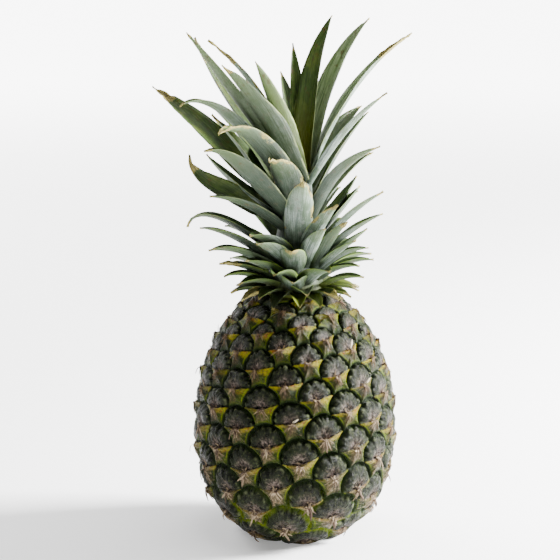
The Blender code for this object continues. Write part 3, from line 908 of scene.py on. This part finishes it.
class Shades:
    """A material under construction, with short ways to add its nodes."""

    def __init__(self, name):
        self.material = bpy.data.materials.new(name)
        self.material.use_nodes = True
        self.tree = self.material.node_tree
        self.shader = self.tree.nodes["Principled BSDF"]

    def node(self, kind, inputs=(), **settings):
        made = self.tree.nodes.new(kind)
        for name, value in settings.items():
            setattr(made, name, value)
        for socket, value in dict(inputs).items():
            self.put(made.inputs[socket], value)
        return made

    def put(self, socket, value):
        if isinstance(value, bpy.types.NodeSocket):
            self.tree.links.new(value, socket)
        else:
            socket.default_value = value

    def attribute(self, name):
        found = self.node("ShaderNodeAttribute", attribute_name=name)
        split = self.node("ShaderNodeSeparateXYZ", {0: found.outputs["Vector"]})
        return found.outputs["Vector"], split.outputs

    def object_place(self):
        """The place in the object's own frame, and its height."""
        place = self.node("ShaderNodeTexCoord").outputs["Object"]
        return place, self.node("ShaderNodeSeparateXYZ", {0: place}).outputs[2]

    def math(self, operation, first, second=0.0):
        made = self.node("ShaderNodeMath", {0: first, 1: second}, operation=operation)
        return made.outputs[0]

    def times(self, *values):
        result = values[0]
        for value in values[1:]:
            result = self.math("MULTIPLY", result, value)
        return result

    def ramp(self, value, low, high, start=0.0, end=1.0):
        made = self.node("ShaderNodeMapRange", {0: value, 1: low, 2: high, 3: start, 4: end},
                         interpolation_type="SMOOTHSTEP")
        return made.outputs[0]

    def mix(self, factor, first, second):
        made = self.node("ShaderNodeMix", data_type="RGBA")
        self.put(made.inputs[0], factor)
        self.put(made.inputs[6], first)
        self.put(made.inputs[7], second)
        return made.outputs[2]

    def noise(self, vector, scale, detail=3.0, rough=0.55, stretch=(1, 1, 1)):
        moved = self.node("ShaderNodeVectorMath", {0: vector, 1: stretch}, operation="MULTIPLY")
        made = self.node("ShaderNodeTexNoise", {
            "Vector": moved.outputs[0], "Scale": scale, "Detail": detail, "Roughness": rough})
        return made.outputs[0]

    def vector(self, x, y, z):
        return self.node("ShaderNodeCombineXYZ", {0: x, 1: y, 2: z}).outputs[0]

    def finish(self, colour, roughness, bump, bump_distance, specular=0.4):
        made = self.node("ShaderNodeBump", {"Height": bump, "Distance": bump_distance})
        self.put(self.shader.inputs["Base Color"], colour)
        self.put(self.shader.inputs["Roughness"], roughness)
        self.shader.inputs["Specular IOR Level"].default_value = specular
        self.tree.links.new(made.outputs[0], self.shader.inputs["Normal"])
        return self.material


def rind_material():
    """Dark pleated discs with painted shade in their creases and painted highlights on their
    lobes' crests, yellow-green bracts with brown middles and painted shade at their lower
    edges, dark grooves deepened with painted shade.
    """
    shades = Shades("rind")
    _, (x, y, number) = shades.attribute("eye_place")
    _, (disc, share, tone) = shades.attribute("eye_kind")
    _, (lobe, _, groove) = shades.attribute("eye_look")
    where, z = shades.object_place()
    blotch = shades.noise(where, 240, 4, 0.6)
    patch = shades.noise(where, 55, 3, 0.5)
    speck = shades.noise(where, 620, 5, 0.7)
    grain = shades.noise(where, 1400, 3, 0.65)
    radius = shades.math("SQRT", shades.math("ADD", shades.times(x, x), shades.times(y, y)))
    angle = shades.math("ARCTAN2", y, x)
    rays = shades.noise(shades.vector(angle, shades.times(radius, 0.05), number), 8, 4, 0.7)
    low_down = shades.ramp(z, 0.115, 0.02)

    dome = shades.mix(shades.ramp(blotch, 0.38, 0.62), srgb(5, 9, 1), srgb(22, 29, 9))
    dome = shades.mix(shades.ramp(speck, 0.53, 0.64, 0, 0.6), dome, srgb(72, 78, 48))
    # Painted shade: the creases between a disc's lobes are darkened towards near black.
    crease = shades.times(shades.ramp(lobe, 0.55, 0.1), shades.ramp(share, 0.58, 0.82))
    dome = shades.mix(shades.times(crease, 0.65), dome, srgb(6, 8, 4))
    # Painted highlight: the crests of the lobes at a disc's rim are lightened to pale
    # grey-green.
    rim = shades.times(shades.ramp(lobe, 0.45, 0.80), shades.ramp(share, 0.80, 0.90))
    rim = shades.times(rim, shades.ramp(blotch, 0.4, 0.6), 0.6)
    dome = shades.mix(rim, dome, srgb(112, 120, 84))
    mottle = shades.math("ADD", shades.times(rays, 0.5), shades.times(speck, 0.5))
    centre = shades.mix(shades.ramp(mottle, 0.44, 0.58), srgb(24, 17, 15), srgb(122, 107, 100))
    near_heart = shades.times(shades.ramp(share, 0.70, 0.25),
                              shades.ramp(blotch, 0.38, 0.56, 0.2, 0.9))
    dome = shades.mix(near_heart, dome, centre)
    streaks = shades.times(shades.ramp(rays, 0.54, 0.66),
                           shades.ramp(share, shades.ramp(low_down, 0, 1, 0.62, 0.85), 0.2))
    dome = shades.mix(shades.times(streaks, 0.6), dome, srgb(150, 134, 116))

    green = shades.mix(shades.ramp(patch, 0.4, 0.6), srgb(18, 30, 1), srgb(50, 62, 2))
    yellow = shades.mix(shades.ramp(blotch, 0.53, 0.64), srgb(120, 110, 1), srgb(118, 66, 2))
    yellow = shades.mix(shades.times(low_down, 0.6), yellow, srgb(118, 98, 56))
    aside = shades.math("ABSOLUTE", x)
    height_in_bract = shades.math("SUBTRACT", y, shades.times(aside, 0.18))
    wave = shades.times(shades.math("SUBTRACT", patch, 0.5), 6.0)
    top_edge = shades.ramp(shades.math("ADD", height_in_bract, wave), -3.2, -0.9)
    top_edge = shades.times(top_edge, shades.ramp(tone, 0.0, 0.8, 0.35, 1.0))
    bract = shades.mix(top_edge, green, yellow)
    brown = shades.mix(low_down, srgb(58, 42, 26), srgb(122, 102, 78))
    half_width = shades.ramp(low_down, 0, 1, 4.6, 6.8)
    middle = shades.times(shades.ramp(aside, half_width, 1.2), shades.ramp(rays, 0.38, 0.54),
                          shades.ramp(share, 0.96, 0.6))
    bract = shades.mix(shades.times(middle, 0.85), bract, brown)
    veins = shades.times(shades.ramp(rays, 0.55, 0.64), shades.ramp(share, 1.0, 0.6))
    bract = shades.mix(shades.times(veins, 0.8), bract,
                       shades.mix(low_down, srgb(106, 90, 60), srgb(172, 154, 124)))
    cracks = shades.times(shades.ramp(rays, 0.44, 0.36), shades.ramp(share, 0.95, 0.5))
    bract = shades.mix(shades.times(cracks, 0.7), bract, srgb(26, 20, 8))
    bract = shades.mix(shades.ramp(speck, 0.52, 0.40, 0, 0.6), bract, srgb(16, 24, 3))
    # Painted shade: a bract's lower edge, where it dips towards the groove, is darkened to deep
    # green.
    low_edge_shade = shades.times(shades.ramp(share, 0.80, 0.95), shades.ramp(y, -1.0, -4.5))
    bract = shades.mix(shades.times(low_edge_shade, 0.8), bract, srgb(20, 36, 1))
    margin = shades.times(shades.ramp(share, 0.78, 0.84), shades.ramp(share, 0.92, 0.87),
                          shades.ramp(y, -8.0, -4.0), shades.ramp(patch, 0.35, 0.55, 0.3, 1.0))
    bract = shades.mix(shades.times(margin, 0.85), bract, srgb(92, 106, 5))

    colour = shades.mix(shades.ramp(disc, 0.35, 0.65), bract, dome)
    # The groove and the disc's wall: their own dark green, lime towards the foot, painted near
    # black higher up as painted shade in the recess.
    lime = shades.mix(shades.ramp(patch, 0.42, 0.58), srgb(34, 56, 3), srgb(96, 112, 4))
    groove_green_and_shade = shades.mix(shades.ramp(z, 0.050, 0.005), srgb(15, 28, 1), lime)
    wall = shades.math("MAXIMUM", groove, shades.ramp(share, 0.92, 0.98))
    colour = shades.mix(wall, colour, groove_green_and_shade)
    colour = shades.mix(shades.ramp(grain, 0.40, 0.65, 0, 0.45), colour, srgb(8, 9, 4))
    roughness = shades.ramp(blotch, 0.3, 0.7, 0.24, 0.46)
    height = shades.math("ADD", shades.times(rays, 0.5), shades.math("ADD", grain, speck))
    return shades.finish(colour, roughness, height, 0.0011, 0.10)


def tuft_material():
    """Dry papery brown to beige."""
    shades = Shades("dry_flower")
    _, (tone, _, _) = shades.attribute("dry_look")
    where, z = shades.object_place()
    grain = shades.noise(where, 1500, 3, 0.6)
    light = shades.mix(shades.ramp(z, 0.14, 0.04), srgb(102, 84, 58), srgb(156, 138, 112))
    colour = shades.mix(shades.ramp(tone, 0.15, 0.75), srgb(52, 38, 28), light)
    colour = shades.mix(shades.ramp(tone, 1.0, 1.3), colour, srgb(196, 184, 160))
    colour = shades.mix(shades.ramp(grain, 0.4, 0.65, 0, 0.6), colour, srgb(72, 54, 42))
    return shades.finish(colour, 0.8, grain, 0.0003, 0.2)


def leaf_material():
    """Bloomed grey-green backs, dark inner faces, pale margins and dry tips."""
    shades = Shades("leaf")
    place, _ = shades.attribute("leaf_place")
    _, (inner, dried, tone) = shades.attribute("leaf_look")
    _, (edge, share, pale) = shades.attribute("leaf_edge")
    where, z = shades.object_place()
    fibres = shades.noise(place, 1.0, 4, 0.65, (2.2, 0.030, 13.0))
    fine = shades.noise(place, 1.0, 3, 0.6, (6.0, 0.10, 13.0))
    blotch = shades.noise(place, 1.0, 4, 0.6, (0.10, 0.06, 5.0))
    spots = shades.noise(place, 1.0, 4, 0.7, (0.28, 0.14, 9.0))

    mealy = shades.noise(where, 1700, 4, 0.7)
    back = shades.mix(shades.ramp(fibres, 0.39, 0.61), srgb(74, 87, 80), srgb(150, 163, 154))
    back = shades.mix(shades.ramp(mealy, 0.46, 0.60, 0, 0.6), back, srgb(84, 98, 84))
    back = shades.mix(shades.ramp(blotch, 0.38, 0.62, 0, 0.8), back, srgb(60, 78, 54))
    back = shades.mix(shades.ramp(spots, 0.52, 0.66, 0, 0.5), back, srgb(164, 174, 168))
    # Darker backs by the leaf's tone: a drawn tone of its own on most leaves, painted shade on
    # the lower left leaves that the tone table sets.
    back = shades.mix(shades.ramp(tone, 0.2, 1.0, 0, 0.9), back, srgb(42, 53, 40))
    back = shades.mix(shades.times(pale, 0.85), back, srgb(76, 90, 34))
    back = shades.mix(shades.ramp(share, 0.45, 1.0, 0, 0.65), back, srgb(82, 100, 58))
    low_sides = shades.times(shades.ramp(z, 0.20, 0.17), shades.ramp(edge, 0.45, 0.9))
    back = shades.mix(shades.times(low_sides, 0.75), back, srgb(66, 86, 30))
    shaded = shades.times(shades.ramp(share, 0.4, 0.05), shades.ramp(z, 0.235, 0.215), 0.6)
    back = shades.mix(shaded, back, srgb(46, 58, 44))
    front = shades.mix(shades.ramp(fibres, 0.35, 0.65), srgb(28, 42, 12), srgb(54, 74, 24))
    front = shades.mix(shades.ramp(blotch, 0.45, 0.7, 0, 0.5), front, srgb(84, 96, 34))
    rooted = shades.times(shades.ramp(share, 0.55, 0.12), shades.ramp(z, 0.225, 0.24))
    front = shades.mix(shades.times(rooted, pale), front, srgb(72, 76, 2))
    greyed = shades.mix(shades.ramp(fibres, 0.4, 0.6), srgb(70, 90, 50), srgb(124, 138, 104))
    front = shades.mix(shades.ramp(pale, 0, -1, 0, 0.8), front, greyed)
    colour = shades.mix(inner, back, front)

    low_leaf = shades.ramp(z, 0.172, 0.158)
    foot = shades.mix(shades.ramp(tone, 0.25, 0.7), srgb(26, 34, 8), srgb(84, 94, 12))
    colour = shades.mix(shades.times(low_leaf, 0.85), colour, foot)
    colour = shades.mix(shades.ramp(fine, 0.55, 0.8, 0, 0.2), colour, srgb(190, 196, 166))
    rim = shades.times(shades.ramp(edge, 0.93, 0.99), shades.ramp(blotch, 0.42, 0.6),
                       shades.ramp(z, 0.160, 0.170, 0.4, 1.0))
    rim_colour = shades.mix(shades.ramp(z, 0.19, 0.22), srgb(112, 138, 30), srgb(148, 158, 104))
    colour = shades.mix(shades.times(rim, 0.6), colour, rim_colour)
    rust = shades.times(shades.ramp(spots, 0.56, 0.65), shades.ramp(share, 0.2, 0.9, 0.4, 1.0))
    colour = shades.mix(shades.times(rust, 0.75), colour, srgb(64, 52, 18))
    dry = shades.mix(shades.ramp(fine, 0.4, 0.6), srgb(158, 148, 84), srgb(56, 46, 20))
    uneven = shades.math("ADD", dried, shades.math("SUBTRACT", spots, 0.5))
    colour = shades.mix(shades.ramp(uneven, 0.34, 0.52), colour, dry)
    roughness = shades.ramp(inner, 0, 1, 0.55, 0.45)
    height = shades.math("ADD", fibres, shades.times(fine, 0.5))
    return shades.finish(colour, roughness, height, 0.0004, 0.22)


def stalk_material():
    """Dry fibrous cut end."""
    shades = Shades("cut_fibre")
    where, _ = shades.object_place()
    pores = shades.noise(where, 900, 4, 0.7)
    rings = shades.noise(where, 220, 3, 0.6)
    colour = shades.mix(shades.ramp(pores, 0.35, 0.65), srgb(120, 92, 54), srgb(206, 184, 134))
    colour = shades.mix(shades.ramp(rings, 0.4, 0.7, 0, 0.6), colour, srgb(150, 124, 76))
    return shades.finish(colour, 0.85, pores, 0.0006, 0.2)


def floor_material():
    """Plain and pale, with a glow that grows outward, as in a lit studio cove."""
    shades = Shades("floor")
    place, _ = shades.object_place()
    distance = shades.node("ShaderNodeVectorMath", {0: place}, operation="LENGTH").outputs[1]
    shades.put(shades.shader.inputs["Emission Strength"], shades.ramp(distance, *FLOOR_GLOW))
    shades.shader.inputs["Emission Color"].default_value = (1, 1, 1, 1)
    shades.shader.inputs["Base Color"].default_value = (0.9, 0.9, 0.9, 1)
    shades.shader.inputs["Roughness"].default_value = 0.8
    return shades.material


# The stage


def make_floor():
    """A wide, plain, pale floor."""
    bpy.ops.mesh.primitive_plane_add(size=FLOOR_SIZE, location=(0, 0, 0))
    floor = bpy.context.object
    floor.name = "floor"
    floor.data.materials.append(floor_material())


def add_light(name, place, target, size, power):
    """A square area light aimed at a point."""
    data = bpy.data.lights.new(name, "AREA")
    data.shape = "SQUARE"
    data.size = size
    data.energy = power
    lamp = bpy.data.objects.new(name, data)
    bpy.context.scene.collection.objects.link(lamp)
    lamp.location = place
    lamp.rotation_euler = (Vector(target) - Vector(place)).to_track_quat("-Z", "Y").to_euler()


def make_world():
    """Even white surroundings."""
    world = bpy.data.worlds.new("studio")
    bpy.context.scene.world = world
    world.use_nodes = True
    background = world.node_tree.nodes["Background"]
    background.inputs["Color"].default_value = (1, 1, 1, 1)
    background.inputs["Strength"].default_value = WORLD_STRENGTH


def make_camera():
    """The photograph's viewing angle."""
    data = bpy.data.cameras.new("camera")
    data.lens = CAMERA_LENS
    data.sensor_width = CAMERA_SENSOR
    camera = bpy.data.objects.new("camera", data)
    bpy.context.scene.collection.objects.link(camera)
    back = Vector((0, -math.cos(CAMERA_RISE), math.sin(CAMERA_RISE)))
    camera.location = CAMERA_TARGET + back * CAMERA_DISTANCE
    camera.rotation_euler = (-back).to_track_quat("-Z", "Y").to_euler()
    bpy.context.scene.camera = camera


make_camera()
make_world()
make_floor()
for lamp in LAMPS:
    add_light(*lamp)

rind, eyes = make_fruit()
rind.data.materials.append(rind_material())
tufts = make_tufts(eyes)
tufts.data.materials.append(tuft_material())
crown = make_crown()
crown.data.materials.append(leaf_material())

for piece, slot in ((rind, "rind"), (tufts, "rind"), (crown, "leaf")):
    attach(piece, "root")
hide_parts("fruit")
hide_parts("crown")
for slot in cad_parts["cut_stalk"].material_slots:
    slot.material = stalk_material()
